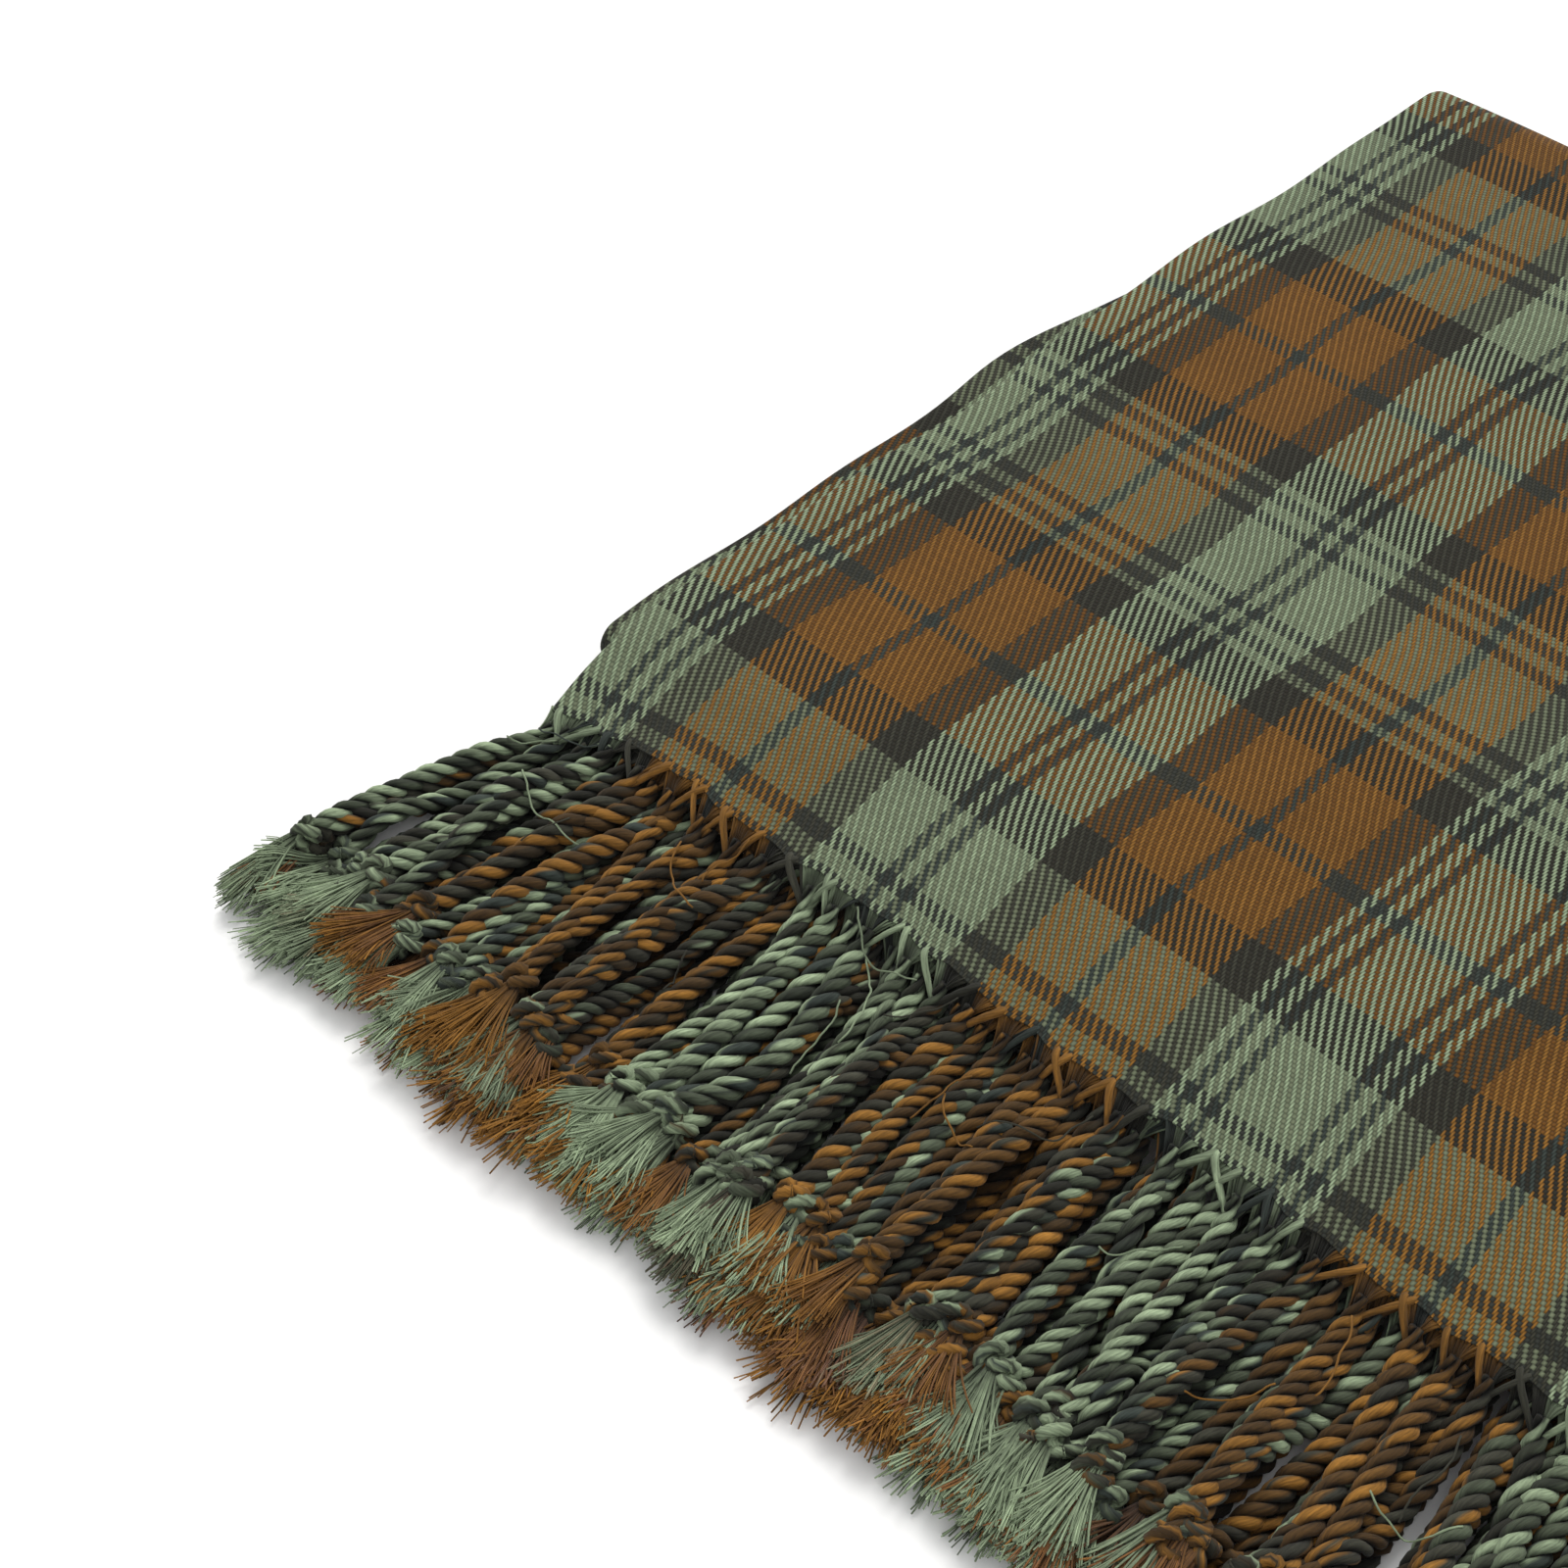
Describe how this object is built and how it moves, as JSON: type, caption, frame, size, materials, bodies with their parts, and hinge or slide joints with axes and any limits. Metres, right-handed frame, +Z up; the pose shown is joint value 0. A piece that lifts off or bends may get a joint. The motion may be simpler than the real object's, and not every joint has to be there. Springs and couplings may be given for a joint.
{
  "type": "folded throw blanket",
  "caption": "Twill throw in a weathered tartan, folded in three across and twice in half lengthways, with a twisted, knotted and brushed fringe along its front edge.",
  "frame": {"origin": "centre of the pack's footprint, fringe included, on the surface it rests on", "axes": "+Z up; +X along the fringed edge, to the right as seen from the fringe; +Y from the fringe to the back fold"},
  "size_m": [0.4334, 0.543, 0.0272],
  "materials": {
    "woven_cloth": "brushed 2/2 twill, woven in sage, dark slate, ochre brown and black",
    "cord_yarn": "two-ply twisted warp yarns in sage, slate and ochre",
    "brush_yarn": "loose yarn ends beyond the knots"
  },
  "bodies": {
    "lower_half": {"back_fold_ply_1": "woven_cloth", "back_fold_ply_2": "woven_cloth", "back_fold_ply_3": "woven_cloth", "back_fold_ply_4": "woven_cloth", "back_fold_ply_5": "woven_cloth", "back_fold_ply_6": "woven_cloth", "front_fold_ply_1": "woven_cloth", "front_fold_ply_2": "woven_cloth", "front_fold_ply_3": "woven_cloth", "lower_panel_1_left_fold": "woven_cloth", "lower_panel_1_right_fold": "woven_cloth", "lower_panel_2_left_fold": "woven_cloth", "lower_panel_2_right_fold": "woven_cloth", "lower_ply_1": "woven_cloth", "lower_ply_2": "woven_cloth", "lower_ply_3": "woven_cloth", "lower_ply_4": "woven_cloth", "lower_ply_5": "woven_cloth", "lower_ply_6": "woven_cloth"},
    "upper_half": {"fringe_1_brushes": "brush_yarn", "fringe_1_cords": "cord_yarn", "fringe_1_knots": "cord_yarn", "fringe_2_brushes": "brush_yarn", "fringe_2_cords": "cord_yarn", "fringe_2_knots": "cord_yarn", "fringe_3_brushes": "brush_yarn", "fringe_3_cords": "cord_yarn", "fringe_3_knots": "cord_yarn", "fringe_4_brushes": "brush_yarn", "fringe_4_cords": "cord_yarn", "fringe_4_knots": "cord_yarn", "fringe_5_brushes": "brush_yarn", "fringe_5_cords": "cord_yarn", "fringe_5_knots": "cord_yarn", "fringe_6_brushes": "brush_yarn", "fringe_6_cords": "cord_yarn", "fringe_6_knots": "cord_yarn", "upper_panel_1_left_fold": "woven_cloth", "upper_panel_1_right_fold": "woven_cloth", "upper_panel_2_left_fold": "woven_cloth", "upper_panel_2_right_fold": "woven_cloth", "upper_ply_1": "woven_cloth", "upper_ply_2": "woven_cloth", "upper_ply_3": "woven_cloth", "upper_ply_4": "woven_cloth", "upper_ply_5": "woven_cloth", "upper_ply_6": "woven_cloth"}
  },
  "joints": [
    {"name": "upper_half_opens", "type": "hinge", "parent": "lower_half", "child": "upper_half", "pos_m": [0, 0.2579, 0.0136], "axis": [-1, 0, 0], "range_deg": [0, 179.8], "deforming": ["back_fold_ply_1", "back_fold_ply_2", "back_fold_ply_3", "back_fold_ply_4", "back_fold_ply_5", "back_fold_ply_6"]}
  ]
}
